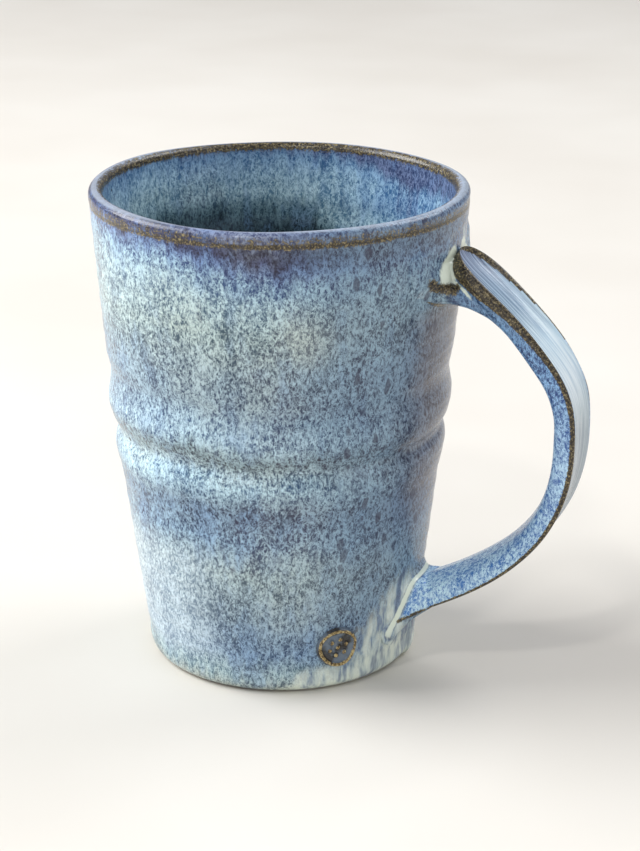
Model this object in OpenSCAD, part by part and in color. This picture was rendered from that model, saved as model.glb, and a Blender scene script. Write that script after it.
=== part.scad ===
// Hand-thrown stoneware mug with a pulled strap handle, built the way a potter assembles it:
// a thrown cup, a pulled strap, a wad of clay pressed into each joint, a stamped seal button,
// and the film of slip that bonds each of them to the wall.
// Origin on the cup's axis at the resting plane, +Z up, handle along +X.

/* [Cup] */
// Height from the table to the top of the lip
cup_height = 120; // [95:1:150]
// Outer radius just under the lip
rim_radius = 46; // [40:0.5:55]
// Outer radius the wall would have at the table
foot_radius = 33; // [29:0.5:38]
// How far the wall bellies out at mid height
belly = 1.15; // [0:0.05:3]
// Thickness of the lip
lip_thickness = 3.4; // [2.6:0.1:5]
// Thickness of the wall where it meets the floor
wall_thickness = 4.8; // [3.6:0.1:7]
// Thickness of the floor
floor_thickness = 6; // [4:0.5:9]
// Radius of the rounded edge around the foot
foot_round = 4; // [2:0.5:5]

/* [Throwing ridges] */
// Height of the upper throwing ridge
upper_ridge_z = 68.5; // [60:0.5:80]
// How far the upper ridge stands out
upper_ridge = 0.75; // [0:0.05:1.5]
// Height of the lower throwing ridge
lower_ridge_z = 56.5; // [45:0.5:58]
// How far the lower ridge stands out
lower_ridge = 0.6; // [0:0.05:1.5]
// Depth of the groove between the ridges
groove = 0.8; // [0:0.05:1.5]

/* [Handle] */
// Distance from the cup's axis to the outside of the grip
grip_reach = 77.2; // [72:0.1:84]
// Height of the point where the grip stands out furthest
grip_z = 64; // [58:1:70]
// Height of the thumb rest's tip
tongue_z = 108.8; // [105:0.1:110]
// Height of the tail's underside at the wall
tail_z = 16.5; // [14:0.5:20]
// Width of the strap
strap_width = 16; // [13:0.5:20]
// Thickness of the strap along the grip
strap_thickness = 5.4; // [4.5:0.1:7]
// Depth of the thumb dish in the strap's outer face
dish_depth = 1.5; // [0.5:0.1:2]

/* [Seal] */
// Radius of the stamped seal button
seal_radius = 5; // [4:0.25:6]
// How far the button stands out of the wall
seal_proud = 1.7; // [1.4:0.1:2.4]
// Height of the seal's centre
seal_z = 12.5; // [11:0.5:16]
// Angle of the seal around the cup, from the handle
seal_angle = -46.5; // [-70:0.5:-40]
// Number of petals in the seal's rosette
seal_petals = 6; // [4:1:8]

/* [Joints] */
// Thickness of the slip film in each joint
slip = 0.4; // [0.3:0.05:0.8]

/* [Hidden] */

CLAY = "#8a7a66";
GLAZE_BLUE = "#6f86a0";
GLAZE_PALE = "#9fb0b4";
GLAZE_BROWN = "#6a5638";
SLIP_GREY = "#b5a992";

ROUND = 144;            // facets around the cup
WALL_STEP = 2.5;        // height between points on the outer wall
INSIDE_STEPS = 14;      // points up the inner wall
ARC_STEPS = 8;          // points on each rounded edge
RIDGE_WIDTH = 3.2;      // half-width of a throwing ridge
GROOVE_WIDTH = 1.8;     // half-width of the groove
CORNER = 0.7;           // exponent that rounds a flattened ring's corners
STRAP_SIDES = 24;       // points in one ring of the strap
STRAP_RINGS = 60;       // rings along the strap
WAD_SIDES = 32;         // points in one ring of a wad
WAD_RINGS = 14;         // rings along a wad
WAD_BURIED = 7;         // how far inside the wall a wad starts, before it is cut to the wall

TIP_GAP = 1.8;          // gap between the wall and the thumb rest's tip
TIP_RUN = 0.3;          // share of the upper run over which the tip is rounded
TIP_FLARE = 0.12;       // extra width of the thumb rest, as a share of the strap's
TIP_THIN = 0.35;        // thickness at the tip, as a share of the strap's
TAIL_BURIED = 5;        // how far inside the wall the tail starts, before it is cut to the wall
TAIL_DROP = 0.8;        // how far the tail dips as it enters the wall
TAIL_SWELL = 4;         // extra thickness at the tail

// Pulls on the ends of the strap's two edge curves, each along the strap's direction there
TIP_PULL = [12.7, -8.9];
CROWN_PULL_UP = [0, 19.6];
CROWN_PULL_DOWN = [0, -23];
TAIL_PULL = [24.5, 3.8];

// Outlines of the wads, from the wall to the far end: steps of height from the tip's or the
// tail's level, and half-widths as shares of the strap's width
UPPER_WAD_UNDER = [-18, -9, -13.3, -18];
UPPER_WAD_OVER = [2.5, -4, -5, -15];
UPPER_WAD_WIDTH = [1.35, 0.65, 0.47, 0.42];
UPPER_WAD_END = 12.5;   // how far past the tip the upper wad reaches
LOWER_WAD_UNDER = [-14, -4, 4, 7.5];
LOWER_WAD_OVER = [20, 12.5, 11, 13.5];
LOWER_WAD_WIDTH = [1.05, 0.7, 0.5, 0.42];
LOWER_WAD_END = 15;     // how far out of the wall the lower wad reaches
LOWER_WAD_SPREAD = 0.3; // how much wider the lower wad is below than above

SEAL_BACK = 2;          // how far the button reaches back into the wall, before it is cut
INSIDE_CORNER = 6;      // how much rounder the cup is inside at the floor than at its foot

lip_z = cup_height - lip_thickness / 2;
inner_round = foot_round + INSIDE_CORNER;

// ---- Shape of the cup ----

function swell(z, centre, size, width) = size * exp(-pow((z - centre) / width, 2));

// Plain tapering wall, without its ridges
function taper(z) = let (u = z / cup_height)
    foot_radius + (rim_radius - foot_radius) * u + 4 * belly * u * (1 - u);

function outer_radius(z) = taper(z)
    + swell(z, upper_ridge_z, upper_ridge, RIDGE_WIDTH)
    + swell(z, lower_ridge_z, lower_ridge, RIDGE_WIDTH)
    - swell(z, (upper_ridge_z + lower_ridge_z) / 2 - 1, groove, GROOVE_WIDTH);

// The wall thins evenly from the floor to the lip
function inner_radius(z) = taper(z) - lip_thickness
    - (wall_thickness - lip_thickness) * (lip_z - z) / lip_z;

// Angle by which the wall leans outward
function lean(z) = atan(outer_radius(z + 0.5) - outer_radius(z - 0.5));

// Points on an arc from one angle to another
function arc(centre, radius, from, to) = [for (i = [0 : ARC_STEPS])
    let (a = from + (to - from) * i / ARC_STEPS)
        centre + radius * [cos(a), sin(a)]];

// Outer outline from the foot up to the lip, grown outward by a film thickness
function outside(grow = 0) = concat(
    arc([outer_radius(foot_round) - foot_round + grow, foot_round], foot_round, -90, 0),
    [for (z = [foot_round + WALL_STEP : WALL_STEP : lip_z - 1]) [outer_radius(z) + grow, z]]);

function inside() = let (low = floor_thickness + inner_round) concat(
    [for (i = [0 : INSIDE_STEPS])
        let (z = lip_z + (low - lip_z) * i / INSIDE_STEPS) [inner_radius(z), z]],
    arc([inner_radius(low) - inner_round, low], inner_round, 0, -90));

module solid_cup(grow = 0) {
    rotate_extrude($fn = ROUND)
        polygon(concat([[0, 0]], outside(grow), [[rim_radius + grow, lip_z], [0, lip_z]]));
}

// ---- Curved solids made from rings ----

function bezier(p, t) = pow(1 - t, 3) * p[0] + 3 * pow(1 - t, 2) * t * p[1]
    + 3 * (1 - t) * t * t * p[2] + pow(t, 3) * p[3];

function power(value, exponent) = sign(value) * pow(abs(value), exponent);

// Heights given as steps up or down from one level
function from_level(z, steps) = [for (step = steps) z + step];

function blend(t, from, to) = let (u = max(0, min(1, (t - from) / (to - from))))
    u * u * (3 - 2 * u);

// Closed skin through a list of rings with equal numbers of points
module skin(rings) {
    n = len(rings[0]);
    last = len(rings) - 1;
    walls = [for (i = [0 : last - 1], j = [0 : n - 1], half = [0, 1])
        let (a = i * n + j, b = i * n + (j + 1) % n)
            half == 0 ? [a, b + n, b] : [a, a + n, b + n]];
    ends = [[for (j = [0 : n - 1]) j], [for (j = [n - 1 : -1 : 0]) last * n + j]];
    polyhedron(points = [for (ring = rings) each ring], faces = concat(walls, ends));
}

// ---- Handle ----

// Outer edge of the strap, from the thumb rest's tip round the grip and into the wall
tip = [outer_radius(tongue_z) + TIP_GAP, tongue_z];
crown = [grip_reach, grip_z];
tail = [outer_radius(tail_z) - TAIL_BURIED, tail_z - TAIL_DROP];
upper_run = [tip, tip + TIP_PULL, crown + CROWN_PULL_UP, crown];
lower_run = [crown, crown + CROWN_PULL_DOWN, tail + TAIL_PULL, tail];

// Place along the strap: 0 at the tip, 1 at the crown, 2 at the tail
function strap_point(t) = t < 1 ? bezier(upper_run, t) : bezier(lower_run, t - 1);

function strap_across(t) = let (d = strap_point(min(2, t + 0.01)) - strap_point(max(0, t - 0.01)))
    [-d.y, d.x] / norm(d);

// Rounded tip, a little wider at the thumb rest than along the grip
function half_width(t) = strap_width / 2 * (1 + TIP_FLARE * (1 - blend(t, 0, 0.7)))
    * sqrt(1 - pow(1 - min(1, t / TIP_RUN + 0.03), 2));

function thickness(t) = strap_thickness * (TIP_THIN + (1 - TIP_THIN) * blend(t, 0, 0.25))
    + TAIL_SWELL * blend(t, 1.4, 1.95);

function dish(t) = dish_depth * (0.5 + 0.5 * (1 - blend(t, 0.4, 1))) * (1 - blend(t, 1.5, 1.9));

function strap_ring(t) = let (
        p = strap_point(t), out = strap_across(t), w = half_width(t), h = thickness(t))
    [for (j = [0 : STRAP_SIDES - 1])
        let (
            a = 360 * j / STRAP_SIDES,
            across = power(cos(a), CORNER),
            depth = h / 2 * (1 - power(sin(a), CORNER))
                + (sin(a) > 0 ? dish(t) * sin(a) * (1 - across * across) : 0))
            [p.x - out.x * depth, w * across, p.y - out.y * depth]];

module strap() {
    skin([for (i = [0 : STRAP_RINGS]) strap_ring(2 * i / STRAP_RINGS)]);
}

// ---- Wads of clay pressed into the joints ----

// A wad reaches from inside the wall out along the strap. Its under and upper outlines and its
// half-width each follow one curve, and spread draws its lower half wider than its upper half.
module wad(from_x, to_x, under, over, width, spread) {
    skin([for (i = [0 : WAD_RINGS])
        let (
            u = i / WAD_RINGS,
            low = bezier(under, u),
            high = bezier(over, u),
            w = bezier(width, u))
            [for (j = [0 : WAD_SIDES - 1])
                let (a = 360 * j / WAD_SIDES)
                    [
                        from_x + (to_x - from_x) * u,
                        w * power(cos(a), CORNER) * (1 - spread * sin(a)),
                        (low + high) / 2 + (high - low) / 2 * power(sin(a), CORNER)
                    ]]]);
}

module upper_clay() {
    wad(
        from_x = taper(tongue_z) - WAD_BURIED,
        to_x = tip.x + UPPER_WAD_END,
        under = from_level(tongue_z, UPPER_WAD_UNDER),
        over = from_level(tongue_z, UPPER_WAD_OVER),
        width = strap_width * UPPER_WAD_WIDTH,
        spread = 0);
}

module lower_clay() {
    wad(
        from_x = taper(tail_z) - WAD_BURIED,
        to_x = taper(tail_z) + LOWER_WAD_END,
        under = from_level(tail_z, LOWER_WAD_UNDER),
        over = from_level(tail_z, LOWER_WAD_OVER),
        width = strap_width * LOWER_WAD_WIDTH,
        spread = LOWER_WAD_SPREAD);
}

// ---- Seal ----

module on_wall(angle, z) {
    rotate([0, 0, angle])
        translate([outer_radius(z), 0, z])
            rotate([0, 90 + lean(z), 0])
                children();
}

module seal_button() {
    ring_width = seal_radius * 0.22;
    field_depth = seal_proud * 0.45;
    petal_ring = seal_radius * 0.42;
    petal_radius = seal_radius * 0.15;
    difference() {
        translate([0, 0, -SEAL_BACK])
            cylinder(r = seal_radius, h = SEAL_BACK + seal_proud, $fn = 64);
        translate([0, 0, seal_proud - field_depth])
            cylinder(r = seal_radius - ring_width, h = seal_proud, $fn = 64);
    }
    for (i = [0 : seal_petals])
        rotate([0, 0, 360 * i / seal_petals])
            translate([i == seal_petals ? 0 : petal_ring, 0, 0])
                cylinder(r = petal_radius, h = seal_proud - field_depth / 3, $fn = 24);
}

// ---- Pieces ----

module film() {
    difference() {
        solid_cup(slip);
        solid_cup();
    }
}

module cup_body() {
    color(GLAZE_BLUE)
        rotate_extrude($fn = ROUND)
            polygon(concat(
                [[0, 0]],
                outside(),
                arc([rim_radius - lip_thickness / 2, lip_z], lip_thickness / 2, 0, 180),
                inside(),
                [[0, floor_thickness]]));
}

module handle_strap() {
    color(GLAZE_PALE)
        difference() {
            strap();
            solid_cup(slip);
        }
}

module upper_wad() {
    color(GLAZE_BROWN)
        difference() {
            upper_clay();
            solid_cup(slip);
            strap();
        }
}

module lower_wad() {
    color(GLAZE_PALE)
        difference() {
            lower_clay();
            solid_cup(slip);
            strap();
        }
}

module maker_seal() {
    color(CLAY)
        difference() {
            on_wall(seal_angle, seal_z)
                seal_button();
            solid_cup(slip);
        }
}

module upper_slip() {
    color(SLIP_GREY)
        intersection() {
            upper_clay();
            film();
        }
}

module lower_slip() {
    color(SLIP_GREY)
        intersection() {
            lower_clay();
            film();
        }
}

module seal_slip() {
    color(SLIP_GREY)
        intersection() {
            on_wall(seal_angle, seal_z)
                seal_button();
            film();
        }
}

cup_body();
handle_strap();
upper_wad();
lower_wad();
maker_seal();
upper_slip();
lower_slip();
seal_slip();
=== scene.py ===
import math

import bpy
import numpy as np
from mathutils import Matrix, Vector


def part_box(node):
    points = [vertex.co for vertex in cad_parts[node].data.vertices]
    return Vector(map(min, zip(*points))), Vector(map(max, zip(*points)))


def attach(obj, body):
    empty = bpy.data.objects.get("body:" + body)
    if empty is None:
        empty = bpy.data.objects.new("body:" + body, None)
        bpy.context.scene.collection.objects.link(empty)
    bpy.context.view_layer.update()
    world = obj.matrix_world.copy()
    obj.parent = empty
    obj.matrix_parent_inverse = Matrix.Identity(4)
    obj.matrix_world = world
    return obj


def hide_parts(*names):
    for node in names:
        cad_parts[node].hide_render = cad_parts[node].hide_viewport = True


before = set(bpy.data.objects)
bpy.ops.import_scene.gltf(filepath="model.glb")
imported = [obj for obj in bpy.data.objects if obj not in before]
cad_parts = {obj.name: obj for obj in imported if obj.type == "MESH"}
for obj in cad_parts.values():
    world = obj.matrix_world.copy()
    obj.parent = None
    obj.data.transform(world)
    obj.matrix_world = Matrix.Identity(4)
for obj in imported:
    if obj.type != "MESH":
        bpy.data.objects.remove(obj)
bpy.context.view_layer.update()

# ------------------------------------------------------------------ sizes, in millimetres
MM = 0.001
TAU = 2 * math.pi
CUP_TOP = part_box("cup_body")[1] / MM
STRAP_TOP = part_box("handle_strap")[1] / MM
SEAL_MIDDLE = sum(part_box("maker_seal"), Vector()) / 2 / MM

HEIGHT = CUP_TOP.z
RIM_R = CUP_TOP.x
FOOT_R = RIM_R - 13.0     # radius that the taper would have at the table
BELLY = 1.15              # how far the wall bellies out at mid height
LIP = 3.4                 # thickness of the lip
WALL = 4.8                # thickness of the wall by the floor
FLOOR = 6.0               # thickness of the floor
FLOOR_RISE = 0.6          # how far the floor climbs towards its middle
FOOT_ROUND = 2.4          # radius of the foot's outer corner
INNER_ROUND = 10.0        # radius of the corner between the wall and the floor, inside
LIP_Z = HEIGHT - LIP / 2  # height where the lip's half circle starts

# Rings of points up the cup
FOOT_RINGS = 12
CORNER_RINGS = 14
WALL_RINGS = 208
LIP_RINGS = 24
ON_LIP = FOOT_RINGS + CORNER_RINGS + WALL_RINGS + LIP_RINGS // 2   # the ring on the lip's crest

STRAP_HALF = 8.2          # half the strap's width along the grip
STRAP_THICK = 5.4
TIP_SHARE = 0.11          # share of the upper run over which the thumb rest's tip is rounded
TIP_POWER = 2.5           # how square that rounding is
RIM_ROUND = 0.9           # the strap's outer edges
CORNER_ROUND = 2.0        # the strap's inner edges
SEAL_R = 5.0


# ------------------------------------------------------------------ small tools
def smooth_step(value, low, high):
    """0 up to low, 1 from high, smooth between. low may be the larger."""
    u = np.clip((value - low) / (high - low), 0, 1)
    return u * u * (3 - 2 * u)


def hump(value, centre, width):
    """1 at the centre, dying away over the width to either side."""
    return np.exp(-((value - centre) / width) ** 2)


def bezier(points, t):
    a, b, c, d = (np.asarray(p, float) for p in points)
    t = np.asarray(t, float)[..., None]
    return (1 - t) ** 3 * a + 3 * (1 - t) ** 2 * t * b + 3 * (1 - t) * t * t * c + t ** 3 * d


def make_piece(name, points, faces, material, stands_for, slot, **attributes):
    """A smooth mesh from points in millimetres, riding on the root body. The attributes are
    values for each point that the glaze reads by name."""
    mesh = bpy.data.meshes.new(name)
    mesh.from_pydata((points * MM).tolist(), [], faces)
    for key, values in attributes.items():
        layer = mesh.attributes.new(key, "FLOAT", "POINT")
        layer.data.foreach_set("value", np.asarray(values, np.float32))
    mesh.validate()
    mesh.polygons.foreach_set("use_smooth", np.ones(len(mesh.polygons), bool))
    mesh.materials.append(material)
    piece = bpy.data.objects.new(name, mesh)
    bpy.context.scene.collection.objects.link(piece)
    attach(piece, "root")
    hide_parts(*stands_for)
    return piece


def ring_faces(rings, sides):
    """Quads between neighbouring rings of points, each ring closed on itself."""
    i, j = np.meshgrid(np.arange(rings - 1), np.arange(sides), indexing="ij")
    k = (j + 1) % sides
    return np.stack([i * sides + j, i * sides + k, (i + 1) * sides + k, (i + 1) * sides + j],
                    -1).reshape(-1, 4)


# ------------------------------------------------------------------ cup
# Throwing marks round the outer wall: height, how far each stands out, half its height
THROWING_MARKS = [(75.4, -0.55, 3.0), (67.2, 0.95, 4.0), (60.7, -1.05, 2.0), (55.4, 0.75, 4.6)]

# Swells low on the wall: angle, half width, height, half height, how far each stands out
SWELLS = [
    (-0.35, 0.55, 4.0, 6.0, 1.2),    # under the handle's root
    (-0.60, 0.32, 2.0, 5.0, 2.3),    # between the handle and the seal
    (-1.15, 0.40, 2.0, 4.0, 0.7),    # past the seal
    (-2.25, 0.50, 2.0, 5.0, 0.9),    # on the side away from the handle
]


def taper(z):
    """Radius of the plain cup, before any unevenness."""
    u = z / HEIGHT
    return FOOT_R + (RIM_R - FOOT_R) * u + 4 * BELLY * u * (1 - u)


def out_of_round(az):
    return 0.18 * np.cos(2 * az + 0.7)


def wall_radius(az, z):
    """The outer wall: a taper with two throwing ridges, a groove and a hand's unevenness."""
    wander = 0.5 * np.sin(az + 0.4) + 0.35 * np.sin(3 * az + 1.0)
    r = taper(z)
    for height, size, reach in THROWING_MARKS:
        r = r + size * hump(z, height + wander, reach)
    r = r + out_of_round(az) + 0.10 * np.sin(3 * az + z / 17)
    r = r + 0.05 * np.sin(TAU * z / 6.3 + az) + 0.03 * np.sin(TAU * z / 2.7 - az + 2.0)
    for angle, spread, height, reach, size in SWELLS:
        r = r + size * hump(az, angle, spread) * hump(z, height, reach)
    foot_bead = 0.25 * hump(z, 3.0, 1.6)
    return r + foot_bead


def inner_radius(az, z):
    thickness = LIP + (WALL - LIP) * (LIP_Z - z) / LIP_Z
    throwing = 0.16 * np.sin(TAU * z / 8.5 + az) * smooth_step(LIP_Z - z, 3, 14)
    return taper(z) - thickness + throwing + out_of_round(az)


def cup_profile(az):
    """Radius and height of every ring of the cup, from the middle of the foot to the middle of
    the floor inside, for an array of angles. Both results are rings by angles."""
    one = np.ones_like(az)
    waver = 0.22 * np.sin(2 * az + 1.1) + 0.12 * np.sin(5 * az)
    rings = []

    flat = wall_radius(az, FOOT_ROUND * one) - FOOT_ROUND
    for share in np.linspace(0.0, 1.0, FOOT_RINGS + 2)[1:-1]:
        rings.append((flat * share, 0 * one))
    for a in np.radians(np.linspace(-90, 0, CORNER_RINGS)):
        z = FOOT_ROUND * (1 + math.sin(a))
        rings.append((wall_radius(az, z * one) - FOOT_ROUND * (1 - math.cos(a)), z * one))

    # The lip's waver dies out quickly down the wall
    for z in np.linspace(FOOT_ROUND, LIP_Z, WALL_RINGS + 2)[1:-1]:
        rings.append((wall_radius(az, z * one), z + waver * (z / LIP_Z) ** 6))
    middle = wall_radius(az, LIP_Z * one) - LIP / 2
    for a in np.radians(np.linspace(0, 180, LIP_RINGS)):
        rings.append((middle + LIP / 2 * math.cos(a), LIP_Z + LIP / 2 * math.sin(a) + waver))

    low = FLOOR + INNER_ROUND
    for z in np.linspace(LIP_Z, low, 90)[1:]:
        share = smooth_step(z, LIP_Z - 8, LIP_Z)
        r = inner_radius(az, z * one) * (1 - share) + (middle - LIP / 2) * share
        rings.append((r, z + waver * share))
    corner = inner_radius(az, low * one) - INNER_ROUND
    for a in np.radians(np.linspace(0, -90, 16))[1:]:
        rings.append((corner + INNER_ROUND * math.cos(a), low + INNER_ROUND * math.sin(a) * one))
    for share in np.linspace(1.0, 0.0, 22)[1:-1]:
        spiral = 0.25 * np.sin(TAU * share * 3.2 + az) * smooth_step(share, 0.0, 0.3)
        rings.append((corner * share, FLOOR + spiral + FLOOR_RISE * (1 - share)))
    return np.array([r for r, _ in rings]), np.array([z for _, z in rings])


def wall_place(points):
    """Distance round the wall from the handle's middle line, and height, for points in mm."""
    around = np.abs(np.arctan2(points[:, 1], points[:, 0])) * taper(points[:, 2])
    return around, points[:, 2]


def near_line(around, z, line, reach):
    """1 on the broken line through the given places on the wall, falling to 0 at reach."""
    best = np.full(len(z), 1e9)
    for start, end in zip(line[:-1], line[1:]):
        start, along = np.array(start), np.subtract(end, start)
        u, v = around - start[0], z - start[1]
        share = np.clip((u * along[0] + v * along[1]) / (along @ along), 0, 1)
        best = np.minimum(best, np.hypot(u - share * along[0], v - share * along[1]))
    return smooth_step(best, reach, 0.3 * reach)


def pooled(points):
    """Where celadon collects round the handle's joints and along the foot. Under the handle's root
    the foot is painted paler still, as painted light thrown up from the table.
    """
    around, z = wall_place(points)
    above_wing = near_line(around, z, [(4.0, 107.0), (7.0, 105.0), (9.5, 103.2)], 4.4)
    smear = 0.40 * near_line(around, z, [(4.5, 111.0), (7.0, 105.0)], 3.8)
    foot = 0.54 * smooth_step(z, 9.0, 3.0) * smooth_step(around, 46.0, 34.0)
    # Painted light over pale celadon: the foot's swell under the handle, lit from the table
    foot = foot + 0.55 * smooth_step(z, 14.0, 7.0) * smooth_step(around, 24.0, 16.0)
    foot = foot + 0.35 * smooth_step(z, 3.4, 1.2)
    return np.maximum.reduce([above_wing, smear, foot])


def flowing(points):
    """Where the glaze has run in long lines, round the lower joint and under the seal."""
    around, z = wall_place(points)
    beside = near_line(around, z, [(9.0, 20.0), (16.0, 12.0), (18.5, 2.0)], 10.0)
    below_seal = near_line(around, z, [(22.0, 4.0), (34.0, 3.0)], 5.0)
    below_joint = near_line(around, z, [(0.0, 7.0), (9.0, 4.0)], 8.0)
    return np.maximum.reduce([beside, below_seal, below_joint])


def painted_shadow_between_joints(points):
    """Painted shadow on the wall under the arm, between the handle's joints, where it faces the
    grip.
    """
    around, z = wall_place(points)
    return smooth_step(around, 27, 9) * smooth_step(z, 99, 93) * smooth_step(z, 26, 55)


def lip_edge(z, past_lip):
    """How thin the glaze runs: on a line under the lip, over its roll, and inside it."""
    line = 0.74 * hump(z, LIP_Z - 1.6, 1.1)
    roll = 0.53 * hump(z, LIP_Z - 0.3, 1.5)
    return np.where(past_lip, 0.80 * hump(z, LIP_Z + 0.8, 1.6), np.maximum(line, roll))


def make_cup(material):
    sides = 400
    az = np.arange(sides) * TAU / sides
    radius, z = cup_profile(az)
    rings = len(radius)
    points = np.stack([radius * np.cos(az), radius * np.sin(az), z], -1).reshape(-1, 3)
    under, inside = len(points), len(points) + 1
    points = np.vstack([points, [0, 0, 0], [0, 0, FLOOR + FLOOR_RISE]])
    last = (rings - 1) * sides
    faces = ring_faces(rings, sides).tolist()
    faces += [[under, (j + 1) % sides, j] for j in range(sides)]
    faces += [[inside, last + j, last + (j + 1) % sides] for j in range(sides)]
    past_lip = np.append(np.repeat(np.arange(rings) > ON_LIP, sides), [False, True])
    return make_piece("thrown_cup", points, faces, material, ["cup_body"], "cup_glaze",
                      edge=lip_edge(points[:, 2], past_lip), inside=past_lip,
                      pool=pooled(points) * ~past_lip, flow=flowing(points) * ~past_lip,
                      shade=painted_shadow_between_joints(points) * ~past_lip)


# ------------------------------------------------------------------ handle
# Ends of the strap's two runs, as x and z, and how far each run's curve is pulled there
TIP = np.array([45.9, 108.3])
CROWN = np.array([STRAP_TOP.x + 0.4, 64.0])
TAIL = np.array([31.0, 12.8])
TIP_PULL = [31.4, -24.2]
CROWN_PULL_UP = [0, 10.9]
CROWN_PULL_DOWN = [0, 30.4]
TAIL_PULL = [19.7, 7.9]
UPPER_RUN = [TIP, TIP + TIP_PULL, CROWN + CROWN_PULL_UP, CROWN]
LOWER_RUN = [CROWN, CROWN - CROWN_PULL_DOWN, TAIL + TAIL_PULL, TAIL]


def strap_line(t):
    """The strap's outer edge line: 0 at the thumb rest's tip, 1 at the crown, 2 at the tail."""
    t = np.asarray(t, float)
    upper = bezier(UPPER_RUN, np.clip(t, 0, 1))
    lower = bezier(LOWER_RUN, np.clip(t - 1, 0, 1))
    return np.where((t < 1)[..., None], upper, lower)


def strap_frames(t):
    """The edge line, the direction it runs in, and the direction out of the strap."""
    line = strap_line(t)
    run = np.gradient(line, axis=0)
    run /= np.linalg.norm(run, axis=1)[:, None]
    return line, run, np.stack([-run[:, 1], run[:, 0]], 1)


def strap_half_width(t):
    rounded_tip = (1 - (1 - np.clip(t / TIP_SHARE, 0, 1)) ** TIP_POWER) ** (1 / TIP_POWER)
    swell = 1 + 0.07 * (1 - smooth_step(t, 0.1, 0.7)) - 0.06 * smooth_step(t, 1.2, 1.8)
    return STRAP_HALF * swell * np.maximum(rounded_tip, 0.03)


def strap_thickness(t):
    """Thinner at the thumb rest, thicker at the tail."""
    return STRAP_THICK * (0.86 + 0.14 * smooth_step(t, 0.08, 0.4)) + 0.9 * smooth_step(t, 1.25, 1.8)


def strap_corner(t):
    """Reach of the rounding of the inner edges: across the strap, and into its thickness."""
    low = smooth_step(t, 1.0, 1.5)
    return CORNER_ROUND + 3.4 * low, CORNER_ROUND + 1.9 * low


def strap_dish(t):
    """Depth of the dish, deepest at the thumb rest."""
    return 0.35 + 1.35 * (1 - smooth_step(t, 0.2, 0.75)) + 0.35 * (1 - smooth_step(t, 1.1, 1.6))


def dish_drop(t, y, w):
    """How far the outer face lies below the edge line."""
    across = np.clip(np.abs(y) / np.maximum(w - RIM_ROUND, 0.1), 0, 1)
    return strap_dish(t) * np.minimum(w / STRAP_HALF, 1) * (1 - across ** 2.6)


def strap_section(t, w, h, rim):
    """Place across the strap and depth below its edge line, for points right round the section
    at each t: from the middle of the outer face, by one side, the inner face and the other
    side. The arguments are columns."""
    corner, corner_deep = strap_corner(t)
    corner = np.minimum(corner, 0.45 * w + 0.25 * w * smooth_step(t, 0.9, 1.5))
    corner_deep = np.minimum(np.minimum(corner_deep, 0.45 * w), 0.7 * h)
    y, depth = [], []
    for share in np.linspace(0, 1, 22)[:-1]:
        y.append((w - rim) * share)
        depth.append(dish_drop(t, y[-1], w))
    for a in np.radians(np.linspace(0, 90, 9)):
        y.append(w - rim + rim * math.sin(a))
        depth.append(rim * (1 - math.cos(a)))
    for share in np.linspace(0, 1, 12)[1:-1]:
        y.append(w + 0.25 * math.sin(math.pi * share) * w / STRAP_HALF)
        depth.append(rim + (h - rim - corner_deep) * share)
    for a in np.radians(np.linspace(0, 90, 9)):
        y.append(w - corner + corner * math.cos(a))
        depth.append(h - corner_deep + corner_deep * math.sin(a))
    for share in np.linspace(1, 0, 14)[1:]:
        y.append((w - corner) * share)
        depth.append(h + 0.3 * (1 - share ** 2) * w / STRAP_HALF)
    y, depth = np.hstack(y), np.hstack(depth)
    y = np.hstack([y, -y[:, -2:0:-1]])
    depth = np.hstack([depth, depth[:, -2:0:-1]])
    return y + 0.14 * np.sin(9 * t + 1) + 0.10 * np.sin(21 * t) * np.sign(y), depth


def strap_edge(t, y, depth, w, rim):
    """How thin the glaze runs on the strap's outer edges, in a band that widens at the tip."""
    tongue = 1 - smooth_step(t, 0.05, 0.5)
    tip = 1 - smooth_step(t, 0.02, 0.22)
    band = 1.15 + 1.1 * tongue + 1.6 * tip - 0.45 * smooth_step(t, 1, 2)
    outside = np.abs(y) > w - (0.9 + 0.9 * tongue + 0.8 * tip) * rim
    return outside * smooth_step(depth, band + 0.5, band - 0.5)


def make_strap(material):
    rings, crowding = 340, 1.15    # the rings crowd a little towards the tip
    t = 2 * np.linspace(0, 1, rings) ** crowding
    line, _, out = strap_frames(t)
    t = t[:, None]
    w, h = strap_half_width(t), strap_thickness(t)
    rim = np.minimum(RIM_ROUND, 0.45 * w)
    y, depth = strap_section(t, w, h, rim)
    x = line[:, :1] - out[:, :1] * depth
    z = line[:, 1:] - out[:, 1:] * depth
    sides = y.shape[1]
    points = np.stack([x, y, z], -1).reshape(-1, 3)
    n = len(points)
    points = np.vstack([points, points[:sides].mean(0), points[-sides:].mean(0)])
    last = (rings - 1) * sides
    faces = ring_faces(rings, sides)[:, ::-1].tolist()
    faces += [[n, j, (j + 1) % sides] for j in range(sides)]
    faces += [[n + 1, last + (j + 1) % sides, last + j] for j in range(sides)]

    # The two points added last are the middles of the tip and of the tail
    face = smooth_step(np.abs(y), w - 0.6 * RIM_ROUND, w - 1.6 * RIM_ROUND) * (depth < 0.62 * h)
    return make_piece("handle_strap_glazed", points, faces, material, ["handle_strap"],
                      "strap_glaze", edge=np.append(strap_edge(t, y, depth, w, rim), [1, 0]),
                      face=np.append(face, [1, 0]), run=np.append(t + 0 * y, [0, 2]),
                      arm=np.ones(n + 2))


# ------------------------------------------------------------------ fields for the joints' clay
def smooth_union(a, b, k):
    """The union of two fields, with a fillet of about k where they meet."""
    h = np.clip(k - np.abs(a - b), 0, None) / k
    return np.minimum(a, b) - h * h * k / 4


def cup_field(x, y, z):
    """Roughly the distance outside the cup."""
    az = np.arctan2(y, x)
    return np.hypot(x, y) - wall_radius(az, np.clip(z, 0, HEIGHT))


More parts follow.
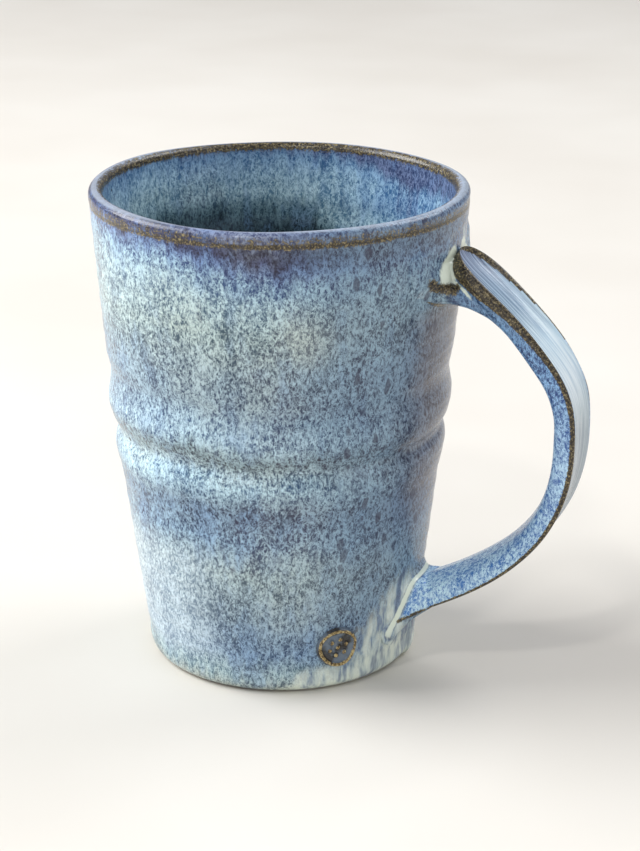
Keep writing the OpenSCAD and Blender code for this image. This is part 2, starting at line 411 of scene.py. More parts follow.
class StrapLookup:
    """Where each point of the x-z plane lies by the strap: along it, below its edge line, and
    beyond its tip. Read from a grid, since the fields ask for it many times."""

    STEP = 0.25
    LOW = np.array([24.0, 0.0])
    HIGH = np.array([72.0, 118.0])
    AT_ONCE = 8000            # places worked out together, to spare memory
    INSIDE = 1.001            # keeps a place clear of the grid's last row

    def __init__(self):
        t = np.linspace(0, 2, 420)
        line, run, out = strap_frames(t)
        axes = [np.arange(a, b, self.STEP) for a, b in zip(self.LOW, self.HIGH)]
        grid = np.stack(np.meshgrid(*axes, indexing="ij"), -1)
        place = grid.reshape(-1, 2)
        nearest = np.empty(len(place), int)
        for start in range(0, len(place), self.AT_ONCE):
            some = slice(start, start + self.AT_ONCE)
            gap = place[some, None, :] - line[None]
            nearest[some] = (gap ** 2).sum(-1).argmin(1)
        offset = place - line[nearest]
        depth = -(offset * out[nearest]).sum(1)
        beyond = -(offset * run[nearest]).sum(1)
        beyond = np.where(nearest == 0, beyond, -1)
        self.table = np.stack([t[nearest], depth, beyond], -1).reshape(*grid.shape[:2], 3)

    def read(self, x, z):
        table = self.table
        u = np.clip((x - self.LOW[0]) / self.STEP, 0, table.shape[0] - self.INSIDE)
        v = np.clip((z - self.LOW[1]) / self.STEP, 0, table.shape[1] - self.INSIDE)
        i, j = u.astype(int), v.astype(int)
        u, v = (u - i)[..., None], (v - j)[..., None]
        low = table[i, j] * (1 - u) + table[i + 1, j] * u
        high = table[i, j + 1] * (1 - u) + table[i + 1, j + 1] * u
        value = low * (1 - v) + high * v
        return value[..., 0], value[..., 1], value[..., 2]


STRAP_LOOKUP = StrapLookup()


def strap_field(x, y, z):
    """Roughly the distance outside the strap."""
    t, depth, beyond = STRAP_LOOKUP.read(x, z)
    w, h = strap_half_width(t), strap_thickness(t)
    inner = np.minimum(sum(strap_corner(t)) / 2, 0.6 * h)
    corner = np.where(depth > h / 2, inner, RIM_ROUND)
    u = np.abs(y) - (w - corner)
    v = np.abs(depth - h / 2) - (h / 2 - corner)
    box = np.hypot(np.maximum(u, 0), np.maximum(v, 0)) + np.minimum(np.maximum(u, v), 0) - corner
    return np.maximum(np.maximum(box, dish_drop(t, y, w) - depth), beyond)


def surface_net(field, low, step):
    """Points and quads of the surface where field is 0, for a grid starting at low."""
    shape = np.array(field.shape) - 1
    total, count = np.zeros((*shape, 3)), np.zeros(shape)
    crossings = []
    for axis in range(3):
        a = np.take(field, range(shape[axis]), axis)
        b = np.take(field, range(1, shape[axis] + 1), axis)
        crossed = (a < 0) != (b < 0)
        share = np.where(crossed, a / np.where(crossed, a - b, 1), 0)
        others = [n for n in range(3) if n != axis]
        place = np.stack(np.indices(a.shape), -1).astype(float)
        place[..., axis] += share
        place *= crossed[..., None]
        crossings.append((axis, others, crossed, a < 0))
        for du in (0, 1):
            for dv in (0, 1):
                cut = [slice(None)] * 3
                cut[others[0]] = slice(du, du + shape[others[0]])
                cut[others[1]] = slice(dv, dv + shape[others[1]])
                total += place[tuple(cut)]
                count += crossed[tuple(cut)]
    used = count > 0
    number = np.full(shape, -1)
    number[used] = np.arange(used.sum())
    points = np.array(low) + step * total[used] / count[used][:, None]
    quads = []
    for axis, (u, v), crossed, leaving in crossings:
        at = np.argwhere(crossed)
        at = at[(at[:, u] > 0) & (at[:, v] > 0) & (at[:, u] < shape[u]) & (at[:, v] < shape[v])]
        corner = []
        for du, dv in ((1, 1), (0, 1), (0, 0), (1, 0)):
            cell = at.copy()
            cell[:, u] -= du
            cell[:, v] -= dv
            corner.append(number[tuple(cell.T)])
        quad = np.stack(corner, 1)
        flip = leaving[tuple(at.T)] == (axis == 1)
        quad[flip] = quad[flip][:, ::-1]
        quads.append(quad)
    return points, np.vstack(quads)


def untangle(values):
    """Clears the grid's checkerboard squares, where the surface would meet itself on an edge."""
    just_outside = 0.02
    while True:
        inside = values < 0
        tangled = np.zeros_like(inside)
        for u, v in ((0, 1), (0, 2), (1, 2)):
            cuts = []
            for du, dv in ((0, 0), (1, 0), (0, 1), (1, 1)):
                cut = [slice(None)] * 3
                cut[u] = slice(du, values.shape[u] - 1 + du)
                cut[v] = slice(dv, values.shape[v] - 1 + dv)
                cuts.append(tuple(cut))
            a, b, c, d = (inside[cut] for cut in cuts)
            crossed = (a == d) & (b == c) & (a != b)
            for cut in cuts:
                tangled[cut] |= crossed & inside[cut]
        if not tangled.any():
            return values
        values[tangled] = just_outside


def settle(points, field, rounds):
    """Moves points onto the surface where field is 0."""
    nudge, longest, flattest = 0.05, 0.2, 0.3
    for _ in range(rounds):
        x, y, z = points.T
        value = field(x, y, z)
        slope = np.stack([field(x + nudge, y, z) - field(x - nudge, y, z),
                          field(x, y + nudge, z) - field(x, y - nudge, z),
                          field(x, y, z + nudge) - field(x, y, z - nudge)], 1) / (2 * nudge)
        steepness = np.maximum((slope ** 2).sum(1), flattest)
        points = points - slope * np.clip(value / steepness, -longest, longest)[:, None]
    return points


# ------------------------------------------------------------------ the joints' clay
ARM_TOP = 101.0           # height of the arm's upper side at the wall
ARM_LOW = 96.0            # height of its underside there
ARM_END = 60.0            # distance from the cup's axis to its end
ARM_SQUARE = 3.2          # power of its rounded section
WING_SPREAD = 5.4         # how much wider it is at the wall, where it spreads into wings
WING_RISE = 3.2           # how far the wings' ends climb
ROOT_TOP = np.array([39.5, 5.6, 19.4])     # one side of the lower wad, on the strap's flank
ROOT_FOOT = np.array([33.2, 11.5, 11.2])   # where it ends on the wall
ROOT_R = 2.3              # its radius at the top
ROOT_THINS = 1.1          # how much thinner it is at the foot
FILM = 0.06               # the clay stops where it is thinner than this over the wall and strap
SINK = 0.14               # how far its feather edges are sunk, so that none stands proud


def arm_place(x, y, z):
    """A point's place in the arm's section: across and up, each 1 at the section's edge, and
    the section's half height."""
    near_wall = np.clip((55 - x) / 12, 0, 1.2) ** 2.2
    low = ARM_LOW - 0.0205 * (x - 42) ** 2 + 0.5 * smooth_step(x, 52, 60)
    high = np.minimum(ARM_TOP, 103.5 - 0.84 * (x - 46.5))
    w = STRAP_HALF - 0.9 + WING_SPREAD * near_wall
    middle = (low + high) / 2 + WING_RISE * np.clip(np.abs(y) / 15.5, 0, 1.2) ** 3
    half = np.maximum((high - low) / 2, 0.8)
    return np.abs(y) / w, (z - middle) / half, half


def arm_field(x, y, z):
    """The upper wad: an arm off the wall under the thumb rest, spreading into wings at the wall."""
    def ring(x, y, z):
        across, up, half = arm_place(x, y, z)
        return ((across ** ARM_SQUARE + np.abs(up) ** ARM_SQUARE) ** (1 / ARM_SQUARE) - 1) * half

    step = 0.1
    value = ring(x, y, z)
    slope = np.sqrt((ring(x + step, y, z) - value) ** 2 + (ring(x, y + step, z) - value) ** 2
                    + (ring(x, y, z + step) - value) ** 2) / step
    return np.maximum(value / np.maximum(slope, 0.15), x - ARM_END)


def root_field(x, y, z):
    """One side of the lower wad, smeared down the wall from the strap's flank to the foot."""
    along = ROOT_FOOT - ROOT_TOP
    place = np.stack([x, np.abs(y), z], -1) - ROOT_TOP
    share = np.clip((place @ along) / (along @ along), 0, 1)
    gap = place - share[..., None] * along
    return np.sqrt((gap ** 2).sum(-1)) - (ROOT_R - ROOT_THINS * share)


def upper_field(x, y, z):
    """The upper joint's clay, cup and strap, and where its glaze is brown, pooled and blue: brown
    on the wings' upper ridge, brown under the arm as thin glaze and painted shadow, pooled in the
    curl below the thumb rest."""
    cup, strap, arm = cup_field(x, y, z), strap_field(x, y, z), arm_field(x, y, z)
    clay = smooth_union(smooth_union(arm, cup, 1.8 + 5.0 * smooth_step(z, 99, 104)), strap, 1.2)
    across, up, _ = arm_place(x, y, z)
    ridge = 0.85 * smooth_step(across, 0.5, 0.8) * hump(up, 0.60, 0.75) * smooth_step(x, 50, 47)
    ridge = ridge * smooth_step(np.abs(y), 18.0, 15.0)
    # Under the arm: brown thin glaze on its lower edge, with painted shadow under it
    crease = 0.72 * smooth_step(up, -0.70, -0.95) * smooth_step(np.abs(y), 4.5, 7.5)
    crease = crease * smooth_step(x, 62, 54) * smooth_step(np.abs(y), 16.0, 13.0)
    curl = smooth_step(np.abs(arm - strap), 0.9, 0.2) * smooth_step(x, 52.5, 49) * (cup > 1.5)
    return clay, cup, strap, np.maximum(ridge, crease), curl, smooth_step(cup, 0.8, 4.0)


def lower_field(x, y, z):
    """The same for the lower joint: brown along the strap's edge line, pooled in the valley
    between the root and the wall, blue on the strap's flank."""
    cup, strap = cup_field(x, y, z), strap_field(x, y, z)
    body = smooth_union(strap, root_field(x, y, z), 2.6)
    fillet = 3.0 + 2.0 * smooth_step(z, 13, 17) - 1.5 * smooth_step(z, 24, 28)
    depth = STRAP_LOOKUP.read(x, z)[1]
    crease = 0.68 * hump(depth, 0.2, 0.8) * smooth_step(np.abs(y), 5.5, 7.0)
    crease = crease * smooth_step(cup, 0.6, 1.6)
    valley = smooth_step(np.abs(body - cup), 1.5, 0.5) * smooth_step(z, 8.5, 12.5)
    arm = smooth_step(cup - body, 0.2, 2.0) * smooth_step(depth, -0.6, 0.6)
    return smooth_union(body, cup, fillet), cup, strap, crease, valley, arm


def make_wad(name, field, low, high, material, node, slip):
    step = 0.32
    axes = [np.arange(a, b, step) for a, b in zip(low, high)]
    x, y, z = np.meshgrid(*axes, indexing="ij")

    def shape(x, y, z):
        clay, cup, strap = field(x, y, z)[:3]
        fillet = np.minimum(cup, strap) - clay
        return np.maximum(clay + SINK * (1 - smooth_step(fillet, FILM, 0.35)), FILM - fillet)

    # The grid's outermost values are made to lie outside the clay, so that the surface is closed
    values = shape(x, y, z)
    for axis in range(3):
        for end in (0, -1):
            skin = [slice(None)] * 3
            skin[axis] = end
            values[tuple(skin)] = np.maximum(values[tuple(skin)], 0.1)
    points, faces = surface_net(untangle(values), low, step)
    points = settle(points, shape, 2)
    _, cup, _, edge, gather, arm = field(*points.T)
    on_wall = smooth_step(cup, 4.5, 1.5)
    return make_piece(name, points, faces.tolist(), material, [node, slip], "joint_glaze",
                      edge=edge, pool=np.maximum(pooled(points) * on_wall, gather), arm=arm,
                      flow=flowing(points) * (1 - arm) * on_wall * (1 - gather))


# ------------------------------------------------------------------ seal
SEAL_EDGE = 1.06 * SEAL_R  # radius of the button's outer edge
FIELD_HEIGHT = 0.45       # how far the seal's stamped field stands out of the wall
RING_RISE = 0.95          # how much further the ring round it stands
RING_R = 4.45             # radius of the ring's crest
DOT_RISE = 0.7
DOT_R = 0.72
ROSETTE_R = 2.15          # radius on which the rosette's outer dots lie
ROSETTE_DOTS = 6
ROSETTE_TURN = 0.3
SEAL_BURIED = 0.25        # how far the button's back lies inside the wall


def seal_height(rho, a, u, v):
    """How far the button stands out: a raised ring round a field with a rosette of dots."""
    height = FIELD_HEIGHT + RING_RISE * hump(rho, RING_R + 0.10 * np.sin(3 * a), 0.50)
    height = height * smooth_step(rho, SEAL_EDGE, 0.93 * SEAL_EDGE)
    for i in range(ROSETTE_DOTS + 1):
        angle = TAU * i / ROSETTE_DOTS + ROSETTE_TURN
        reach = ROSETTE_R if i < ROSETTE_DOTS else 0
        gap = np.hypot(u - reach * math.cos(angle), v - reach * math.sin(angle))
        height = height + DOT_RISE * smooth_step(gap, 1.3 * DOT_R, 0.4 * DOT_R)
    return height


def make_seal(material):
    """The stamped button, pressed onto the curve of the wall."""
    sides, steps = 120, 44
    az0, z0 = math.atan2(SEAL_MIDDLE.y, SEAL_MIDDLE.x), SEAL_MIDDLE.z
    rho = SEAL_EDGE * np.linspace(0, 1, steps + 1)[1:, None]
    a = np.arange(sides)[None, :] * TAU / sides
    u, v = rho * np.cos(a), rho * np.sin(a)
    height = seal_height(rho, a, u, v)
    z = z0 + v
    az = az0 + u / taper(z0)
    front_r = wall_radius(az, z) + height - 0.05
    skins = []
    for r in (front_r, wall_radius(az, z) - SEAL_BURIED):
        skins.append(np.stack([r * np.cos(az), r * np.sin(az), z], -1).reshape(-1, 3))
    middles = [[r * math.cos(az0), r * math.sin(az0), z0]
               for r in (front_r[0].mean(), wall_radius(az0, z0) - SEAL_BURIED)]
    points = np.vstack([*skins, middles])

    # The front, the back, the wall between their rims, and a fan at the middle of each
    n, rim = steps * sides, (steps - 1) * sides
    j = np.arange(sides)
    k = (j + 1) % sides
    skin = ring_faces(steps, sides)
    wall = np.stack([rim + j, rim + k, n + rim + k, n + rim + j], 1)
    faces = np.vstack([skin[:, ::-1], skin + n, wall[:, ::-1]]).tolist()
    faces += np.stack([np.full(sides, 2 * n), k, j], 1).tolist()
    faces += np.stack([np.full(sides, 2 * n + 1), n + j, n + k], 1).tolist()
    raised = 0.8 * smooth_step(height, 0.75, 1.05).ravel()
    return make_piece("seal_button", points, faces, material, ["maker_seal", "seal_slip"],
                      "seal_glaze", edge=np.concatenate([raised, 0 * raised, [1, 0]]),
                      seal=np.ones(2 * n + 2))


# ------------------------------------------------------------------ materials
def paint(code):
    """A hex sRGB colour as linear RGBA."""
    parts = [int(code[i:i + 2], 16) / 255 for i in (0, 2, 4)]
    return (*[c / 12.92 if c <= 0.04045 else ((c + 0.055) / 1.055) ** 2.4 for c in parts], 1.0)


class Tree:
    """A material's node tree, built a node at a time. Sockets are given by number or name."""

    def __init__(self, name):
        self.material = bpy.data.materials.new(name)
        self.material.use_nodes = True
        self.nodes = self.material.node_tree.nodes
        self.links = self.material.node_tree.links
        self.nodes.clear()

    def add(self, kind, inputs=(), **settings):
        node = self.nodes.new("ShaderNode" + kind)
        for key, value in settings.items():
            setattr(node, key, value)
        for key, value in dict(inputs).items():
            if isinstance(value, bpy.types.NodeSocket):
                self.links.new(value, node.inputs[key])
            else:
                node.inputs[key].default_value = value
        return node

    def math(self, operation, a, b=0.0, clamp=False):
        return self.add("Math", {0: a, 1: b}, operation=operation, use_clamp=clamp).outputs[0]

    def plus(self, first, *others):
        for other in others:
            first = self.math("ADD", first, other)
        return first

    def times(self, first, *others):
        for other in others:
            first = self.math("MULTIPLY", first, other)
        return first

    def minus(self, a, b):
        return self.math("SUBTRACT", a, b)

    def absolute(self, value):
        return self.math("ABSOLUTE", value)

    def sway(self, noise, gain):
        """How far a noise is from its middle, times gain."""
        return self.times(self.minus(noise, 0.5), gain)

    def fade(self, value, low, high):
        """0 below low, 1 above high, smooth between. low may be the larger."""
        node = self.add("MapRange", {0: value, 1: low, 2: high}, interpolation_type="SMOOTHSTEP")
        return node.outputs[0]

    def mix(self, share, a, b):
        return self.add("Mix", {0: share, 6: a, 7: b}, data_type="RGBA").outputs[2]

    def tint(self, colour, share, code):
        """The colour, some share of the way to a hex colour."""
        return self.mix(share, colour, paint(code))

    def noise(self, vector, scale, detail=2.0, roughness=0.5, output="Fac"):
        node = self.add("TexNoise", {"Vector": vector, "Scale": scale, "Detail": detail,
                                     "Roughness": roughness})
        return node.outputs[output]

    def scaled(self, vector, scale, shift=(0, 0, 0)):
        return self.add("Mapping", {"Vector": vector, "Scale": scale, "Location": shift}).outputs[0]

    def warped(self, vector, amount, scale):
        """vector pushed about by soft noise."""
        wander = self.noise(vector, scale, 1.0, output="Color")
        centred = self.add("VectorMath", {0: wander, 1: (0.5, 0.5, 0.5)}, operation="SUBTRACT")
        push = self.add("VectorMath", {0: centred.outputs[0], "Scale": amount}, operation="SCALE")
        return self.add("VectorMath", {0: vector, 1: push.outputs[0]}, operation="ADD").outputs[0]

    def ramp(self, value, stops):
        """A ramp through hex colours, from pairs of place and colour in order of place."""
        node = self.add("ValToRGB", {0: value})
        points = node.color_ramp.elements
        while len(points) < len(stops):
            points.new(1.0)
        for point, (place, code) in zip(points, stops):
            point.position = place
            point.color = paint(code)
        return node.outputs[0]

    def bands(self, height, rows):
        """Two ramps up the mug for a height in mm, from rows of height, dark and pale colour."""
        level = self.math("DIVIDE", height, HEIGHT)
        return [self.ramp(level, [(row[0] / HEIGHT, row[i]) for row in rows]) for i in (1, 2)]


# Height in mm, colour of the dark specks there, colour of the pale web there
GLAZE_BANDS = [
    (0, "5a6466", "bcc6be"),
    (5, "4e6c7c", "b8d0d4"),
    (11, "2c4668", "94b2cc"),
    (22, "34485c", "a2bac8"),
    (33, "4c5e6a", "bcd2d6"),
    (42, "263f62", "a2c2d8"),
    (50, "222e46", "8ca8c0"),
    (57, "365c80", "c8e6f0"),
    (60.5, "3c546a", "cce4ea"),
    # The dark row at 64 mm is thin glaze, and also painted shadow under the upper throwing ridge,
    # which faces down
    (64, "262b34", "96b0ba"),
    (69, "38587c", "c4e0ec"),
    (77, "2c405e", "a2bed0"),
    (86, "34485c", "b0cad8"),
    (95, "3c5462", "c6dcdc"),
    (104, "42607a", "c8e2e8"),
    (110, "2e4a78", "b2d4e6"),
    (113, "243460", "7f9cc8"),
    (115.5, "191a34", "465080"),
    (118, "1e1e34", "404868"),
    (120, "40486a", "8490ae"),
]
# Inside: height in mm, dark and pale colour. The dark rows low in the cup are painted shadow, where
# little light reaches; the rows above are the glaze's own bands
INSIDE_BANDS_AND_SHADOW = [
    (6, "182428", "4c6264"),
    (92, "1a272c", "46595e"),
    (99, "1c2a32", "4c646c"),
    (102, "34505e", "86a4ac"),
    (106, "587e94", "c0dce2"),
    (111, "4e7696", "b4d4e4"),
    (115, "38608c", "92b6d4"),
    (118, "28365c", "7484a8"),
]
# The handle's blue by height in mm, dark and pale colour. The low rows are painted paler as painted
# light, where the lower flank is lit from the table
ARM_BLUE_AND_PAINTED_LIGHT = [
    (18, "4a82c6", "d8f6ff"),
    (60, "3260aa", "c0e4ff"),
    (84, "1c3a72", "8ec2f6"),
    (102, "14264c", "587ea8"),
]

# Colours down the strap's outer face, from the thumb rest's tip at 0 to the tail at 1. Their pale
# stretch above the crown is painted sheen, in the web and in the streaks
DISH_PAINTED_SHEEN = [
    (0.0, "9ca8c0"), (0.06, "a8c2d6"), (0.14, "e2f2f8"), (0.28, "e6f0f4"), (0.38, "c4d2d8"),
    (0.50, "a4b2ba"), (0.85, "8e9aa6"),
]
DISH_STRIPE_AND_SHEEN = [
    (0.0, "3c4a6c"), (0.10, "587c9c"), (0.17, "bad4e4"), (0.28, "c0d2de"), (0.38, "a2b4be"),
    (0.50, "8494a0"), (0.85, "6a7886"),
]
CREAM_PATCH = (21.0, -37.0, 94.0)   # the middle of a cream patch on the wall


class Glaze(Tree):
    """The tree of the shared rutile glaze. All its patterns are in the object's own millimetres,
    and every piece has its origin at the same point, so they run on from piece to piece."""

    def __init__(self, name):
        super().__init__(name)
        place = self.add("TexCoord").outputs["Object"]
        self.mm = self.scaled(place, (1 / MM,) * 3)
        self.x, self.y, self.z = self.add("SeparateXYZ", {0: self.mm}).outputs

        # The values that make_piece gives each point: 0 where a piece has none
        for key in ("pool", "edge", "inside", "face", "run", "seal", "arm", "flow", "shade"):
            setattr(self, key, self.add("Attribute", attribute_name=key).outputs["Fac"])
        self.outside = self.minus(1.0, self.inside)
        self.by_handle = self.times(self.fade(self.x, 12.0, 32.0), self.minus(1.0, self.arm),
                                    self.outside)

        # The noises that more than one layer uses, the first ones a little taller than wide
        self.drift = self.warped(self.scaled(self.mm, (1.0, 1.0, 0.6)), 1.2, 0.5)
        self.fine = self.warped(self.drift, 0.9, 1.6)
        self.fleck = self.noise(self.fine, 1.35, 3.5, 0.66)
        self.breakup = self.noise(self.drift, 0.15, 4.0, 0.6)
        self.stroll = self.noise(self.scaled(self.mm, (0.03, 0.03, 0.012)), 1.0, 3.0, 0.6)
        self.drip = self.noise(self.scaled(self.mm, (0.45, 0.45, 0.05)), 1.0, 2.0, 0.6)
        self.speck = self.noise(self.mm, 1.9, 3.0, 0.7)


def web_cover(t):
    """Share of pale web over the dark specks: soft flecks, a fine mesh and thin bent strands."""
    cell = t.add("TexVoronoi", {"Vector": t.fine, "Scale": 1.45}, feature="DISTANCE_TO_EDGE")
    mesh = t.fade(cell.outputs["Distance"], 0.22, 0.02)
    bent = t.warped(t.scaled(t.mm, (1.0, 1.0, 0.55), (6, 1, 3)), 1.6, 0.8)
    strand = t.fade(t.absolute(t.minus(t.noise(bent, 0.85, 4.0, 0.62), 0.5)), 0.055, 0.0)
    total = t.plus(t.times(t.fleck, 3.0), t.times(mesh, 0.30), t.times(strand, 0.60),
                   t.times(t.breakup, 1.3))
    return t.math("SUBTRACT", total, 1.95, clamp=True)


def band_colours(t):
    """Colours of the specks and of the web, in bands up the wall with uneven edges. Inside, the
    bands, with the painted shadow low in the cup, sit lower towards the handle."""
    level = t.plus(t.z, t.sway(t.stroll, 9.0), t.sway(t.drip, 7.0))
    tilt = t.times(t.minus(t.fade(t.x, -25.0, 30.0), 0.35), t.fade(t.z, 96.0, 106.0))
    level = t.plus(level, t.times(tilt, 5.0))
    # Inside, the bands and the painted shadow low in the cup drop towards the handle
    drop = t.times(t.fade(t.x, -10.0, 6.0), t.fade(t.z, 112.0, 104.0))
    dark, pale = t.bands(level, GLAZE_BANDS)
    in_dark, in_pale = t.bands(t.plus(level, t.times(drop, 7.0)), INSIDE_BANDS_AND_SHADOW)
    return t.mix(t.inside, dark, in_dark), t.mix(t.inside, pale, in_pale)


def patch_tints(t, dark, pale):
    """The web turns blue in places and cream in others, and the specks turn violet."""
    blue = t.fade(t.noise(t.scaled(t.drift, (1, 1, 0.7), (3, 9, 1)), 0.22, 3.0, 0.6), 0.48, 0.66)
    pale = t.tint(pale, t.times(blue, 0.30), "6f95c6")
    warm = t.noise(t.scaled(t.mm, (0.03, 0.03, 0.03), (4, 2, 7)), 1.0, 4.0, 0.6)
    pale = t.tint(pale, t.times(t.fade(warm, 0.50, 0.68), 0.24, t.outside), "c8cfba")
    gap = t.add("VectorMath", {0: t.mm, 1: CREAM_PATCH}, operation="DISTANCE").outputs["Value"]
    cream = t.times(t.fade(t.plus(gap, t.times(t.stroll, 9.0)), 15.0, 6.0), 0.8)
    pale = t.tint(pale, cream, "dfeadd")
    dark = t.tint(dark, t.times(cream, 0.7), "9fb2b4")
    violet = t.noise(t.scaled(t.mm, (0.06, 0.06, 0.03), (1, 5, 2)), 1.0, 3.0, 0.6)
    dark = t.tint(dark, t.times(t.fade(violet, 0.5, 0.7), 0.45), "3f3a52")
    return dark, pale


def place_tints(t, dark, pale):
    """Strong blue on the handle, painted paler low down as painted light, deeper blue on the wall
    beside it, painted shadow in dark violet between its joints, and paler low on the far side
    of the wall."""
    arm_dark, arm_pale = t.bands(t.z, ARM_BLUE_AND_PAINTED_LIGHT)
    dark = t.mix(t.times(t.arm, 0.9), dark, arm_dark)
    pale = t.mix(t.times(t.arm, 0.85), pale, arm_pale)
    dark = t.tint(dark, t.times(t.by_handle, 0.62), "26304a")
    pale = t.tint(pale, t.times(t.by_handle, 0.66), "7494ae")
    # Painted shadow: the wall under the arm, between the joints, darkened towards violet
    dark = t.tint(dark, t.times(t.shade, 0.8), "3a2f36")
    pale = t.tint(pale, t.times(t.shade, 0.6), "746e7c")
    away = t.times(t.fade(t.x, 4.0, -14.0), t.fade(t.z, 3.0, 12.0), t.fade(t.z, 42.0, 32.0),
                   t.outside)
    dark = t.tint(dark, t.times(away, 0.62), "8098ac")
    pale = t.tint(pale, t.times(away, 0.7), "dcecf2")
    return dark, pale


def blotched(t, colour, pale):
    """Larger dark blotches with pale outlines, in patches of the wall and beside the handle."""
    big = t.add("TexVoronoi", {"Vector": t.scaled(t.drift, (1, 1, 0.8)), "Scale": 0.42})
    chance = t.add("SeparateColor", {0: big.outputs["Color"]}).outputs[0]
    inward = t.minus(t.times(t.fade(chance, 0.70, 1.0), 0.46), big.outputs["Distance"])
    patch = t.times(t.fade(t.noise(t.mm, 0.045, 2.0, 0.5), 0.52, 0.66), 0.6)
    patch = t.times(t.math("MAXIMUM", patch, t.by_handle), t.outside)
    outline = t.times(t.fade(t.absolute(t.plus(inward, 0.05)), 0.07, 0.0), patch,
                      t.fade(chance, 0.70, 0.76))
    colour = t.mix(t.times(outline, 0.5), colour, pale)
    return t.tint(colour, t.times(t.fade(inward, -0.02, 0.12), patch, 0.68), "363a50")


def streaks_and_painted_sheen(t, colour):
    """Long streaks down the strap's outer face, with a painted sheen that leaves it palest above the
    crown.
    """
    along = t.add("CombineXYZ", {0: t.times(t.run, 2.2), 1: t.y}).outputs[0]
    streak = t.fade(t.noise(along, 1.1, 4.0, 0.62), 0.36, 0.62)
    down = t.times(t.run, 0.5)
    return t.mix(t.face, colour, t.mix(streak, t.ramp(down, DISH_STRIPE_AND_SHEEN), t.ramp(down, DISH_PAINTED_SHEEN)))


def pooled_and_run(t, colour):
    """Pools of celadon, then long runs of slate and celadon. Their pale colours are painted paler
    than the glaze, as painted light on the shadowed side under the handle.
    """
    ooze = t.plus(t.pool, t.sway(t.breakup, 0.9), t.sway(t.fleck, 0.7))
    colour = t.tint(colour, t.fade(ooze, 0.30, 0.80), "dde6d6")
    lines = t.noise(t.warped(t.scaled(t.mm, (0.42, 0.42, 0.09)), 1.1, 0.5), 1.0, 3.0, 0.6)
    ran = t.ramp(lines, [(0.34, "5c6a84"), (0.43, "8494a8"), (0.49, "bccac8"), (0.60, "e4ecdf")])
    return t.mix(t.times(t.flow, 0.74), colour, ran)


def stamped(t, colour):
    """The dark, slate-flecked field of the seal."""
    field = t.ramp(t.noise(t.mm, 0.35, 2.0), [(0.42, "302a22"), (0.56, "66727e")])
    return t.mix(t.times(t.seal, 0.95), colour, field)


def thin_edges(t):
    """Where the glaze runs thin over an edge, with a ragged outline."""
    uneven = t.plus(0.55, t.times(t.drip, 0.9))
    return t.fade(t.plus(t.times(t.edge, uneven), t.sway(t.speck, 0.9)), 0.40, 0.66)


def edge_colour(t):
    """Brown where the glaze is thin, and gold on the seal."""
    brown = t.ramp(t.speck, [(0.36, "12100e"), (0.47, "342c20"), (0.56, "5c5138"), (0.66, "9c8e68")])
    gold = t.ramp(t.speck, [(0.38, "2c2114"), (0.47, "8a7040"), (0.62, "c8b680")])
    return t.mix(t.seal, brown, gold)


def bare_underside(t):
    """Where the glaze stops, on the flat underside, and the clay's colour there."""
    facing = t.add("SeparateXYZ", {0: t.add("NewGeometry").outputs["Normal"]}).outputs["Z"]
    under = t.times(t.fade(t.z, 0.55, 0.05), t.fade(facing, -0.6, -0.95))
    grit = t.noise(t.mm, 2.4, 4.0, 0.7)
    return under, t.ramp(grit, [(0.3, "6b5543"), (0.55, "957b62"), (0.75, "b09a80")])


def glaze(name):
    """The shared glaze, layer over layer, with a little relief."""
    t = Glaze(name)
    cover = web_cover(t)
    dark, pale = place_tints(t, *patch_tints(t, *band_colours(t)))
    colour = blotched(t, t.mix(cover, dark, pale), pale)
    colour = pooled_and_run(t, streaks_and_painted_sheen(t, colour))
    # Painted highlight: a pale blue-grey line along the lip's crest
    crest = t.fade(t.z, HEIGHT - 0.45, HEIGHT)
    colour = stamped(t, t.tint(colour, t.times(crest, 0.5), "c2ccd8"))
    thin = thin_edges(t)
    colour = t.mix(thin, colour, edge_colour(t))
    pin = t.add("TexVoronoi", {"Vector": t.mm, "Scale": 0.05}).outputs["Distance"]
    pinhole = t.fade(pin, 0.034, 0.018)
    colour = t.tint(colour, pinhole, "2a1c14")
    under, clay = bare_underside(t)
    colour = t.mix(under, colour, clay)

    roughness = t.plus(0.17, t.times(cover, 0.10), t.times(under, 0.5))
    relief = t.plus(t.times(cover, 0.30), t.noise(t.mm, 0.22, 2.0, 0.5))
    relief = t.minus(relief, t.times(pinhole, 2.0))
    relief = t.plus(relief, t.times(thin, t.speck, 0.8))
    bump = t.add("Bump", {"Height": relief, "Strength": 0.5, "Distance": 0.12 * MM})
    shader = t.add("BsdfPrincipled", {"Base Color": colour, "Roughness": roughness,
                                      "Normal": bump.outputs[0], "IOR": 1.5})
    t.add("OutputMaterial", {0: shader.outputs[0]})
    return t.material


# ------------------------------------------------------------------ build
make_cup(glaze("cup_glaze"))
make_strap(glaze("strap_glaze"))
joint_glaze = glaze("joint_glaze")
make_wad("upper_joint_clay", upper_field, (38, -21, 88), (66, 21, 114), joint_glaze,
         "upper_wad", "upper_slip")
make_wad("lower_joint_clay", lower_field, (27, -20, 1), (58, 20, 42), joint_glaze,
         "lower_wad", "lower_slip")
make_seal(glaze("seal_glaze"))


# ------------------------------------------------------------------ stage, lights and camera
def make_floor():
    reach = 3.0
    mesh = bpy.data.meshes.new("floor")
    corners = [(-reach, -reach, 0), (reach, -reach, 0), (reach, reach, 0), (-reach, reach, 0)]
    mesh.from_pydata(corners, [], [(0, 1, 2, 3)])
    t = Tree("floor_paint")
    cloud = t.noise(t.add("TexCoord").outputs["Object"], 6.0, 3.0)
    colour = t.ramp(cloud, [(0.35, "d8d2c8"), (0.65, "dfdad1")])
    shader = t.add("BsdfPrincipled", {"Base Color": colour, "Roughness": 0.6})
    t.add("OutputMaterial", {0: shader.outputs[0]})
    mesh.materials.append(t.material)
    floor = bpy.data.objects.new("floor", mesh)
    bpy.context.scene.collection.objects.link(floor)


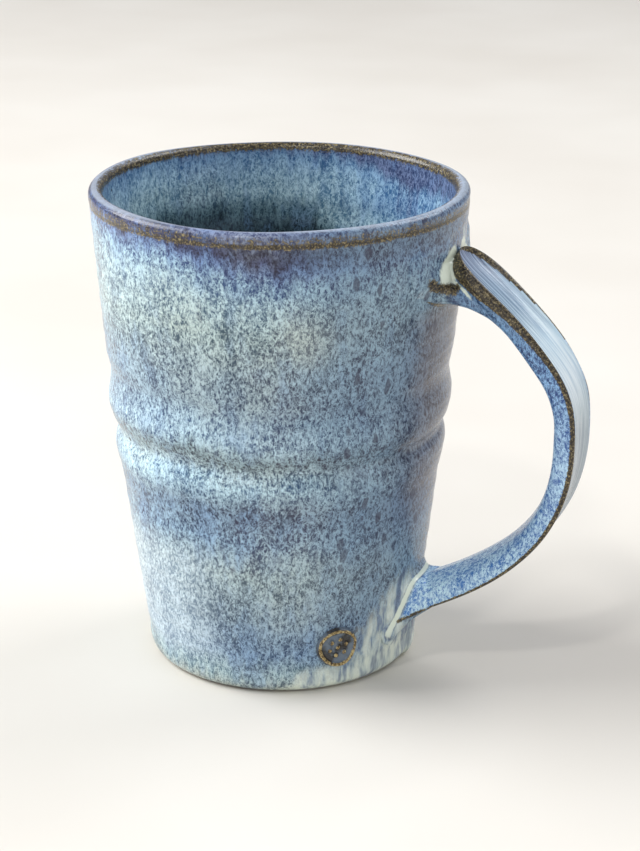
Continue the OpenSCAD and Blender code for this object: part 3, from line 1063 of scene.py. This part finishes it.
def make_light(name, azimuth, elevation, distance, size, power, colour):
    """A square soft light that faces the middle of the mug."""
    middle = Vector((0, 0, HEIGHT / 2 * MM))
    a, e = math.radians(azimuth), math.radians(elevation)
    towards = Vector((math.cos(a) * math.cos(e), math.sin(a) * math.cos(e), math.sin(e)))
    lamp = bpy.data.lights.new(name, "AREA")
    lamp.size = size
    lamp.energy = power
    lamp.color = colour
    light = bpy.data.objects.new(name, lamp)
    light.location = middle + towards * distance
    light.rotation_euler = towards.to_track_quat("Z", "Y").to_euler()
    bpy.context.scene.collection.objects.link(light)


def make_camera():
    """A long lens, above the rim, with the handle on its right."""
    azimuth, away, height = math.radians(-68.95), 0.53713, 0.255
    heading, pitch = math.radians(110.0), math.radians(20.16)
    camera = bpy.data.objects.new("camera", bpy.data.cameras.new("camera"))
    camera.location = (away * math.cos(azimuth), away * math.sin(azimuth), height)
    look = Vector((math.cos(heading), math.sin(heading), -math.tan(pitch)))
    camera.rotation_euler = look.to_track_quat("-Z", "Y").to_euler()
    camera.data.sensor_width = 36
    camera.data.lens = 96.9
    bpy.context.scene.collection.objects.link(camera)
    bpy.context.scene.camera = camera


def make_world():
    world = bpy.data.worlds.new("studio")
    world.use_nodes = True
    background = world.node_tree.nodes["Background"]
    background.inputs["Color"].default_value = (0.90, 0.93, 1.0, 1)
    background.inputs["Strength"].default_value = 0.42
    bpy.context.scene.world = world


# Name, azimuth, elevation, distance and size in metres, power in watts, colour
LIGHTS = [
    ("key", -170, 36, 1.4, 1.0, 27, (0.98, 0.99, 1.0)),
    ("back", 50, 48, 1.4, 0.7, 9, (0.96, 0.97, 1.0)),
    ("low_fill", -95, 8, 1.5, 0.8, 3, (0.98, 0.99, 1.0)),
    ("right_fill", -15, 12, 1.5, 0.8, 2.4, (0.98, 0.99, 1.0)),
    ("sparkle", -95, 52, 1.5, 0.12, 3, (1.0, 1.0, 1.0)),
]

make_floor()
for light in LIGHTS:
    make_light(*light)
make_camera()
make_world()
bpy.context.scene.view_settings.view_transform = "Standard"
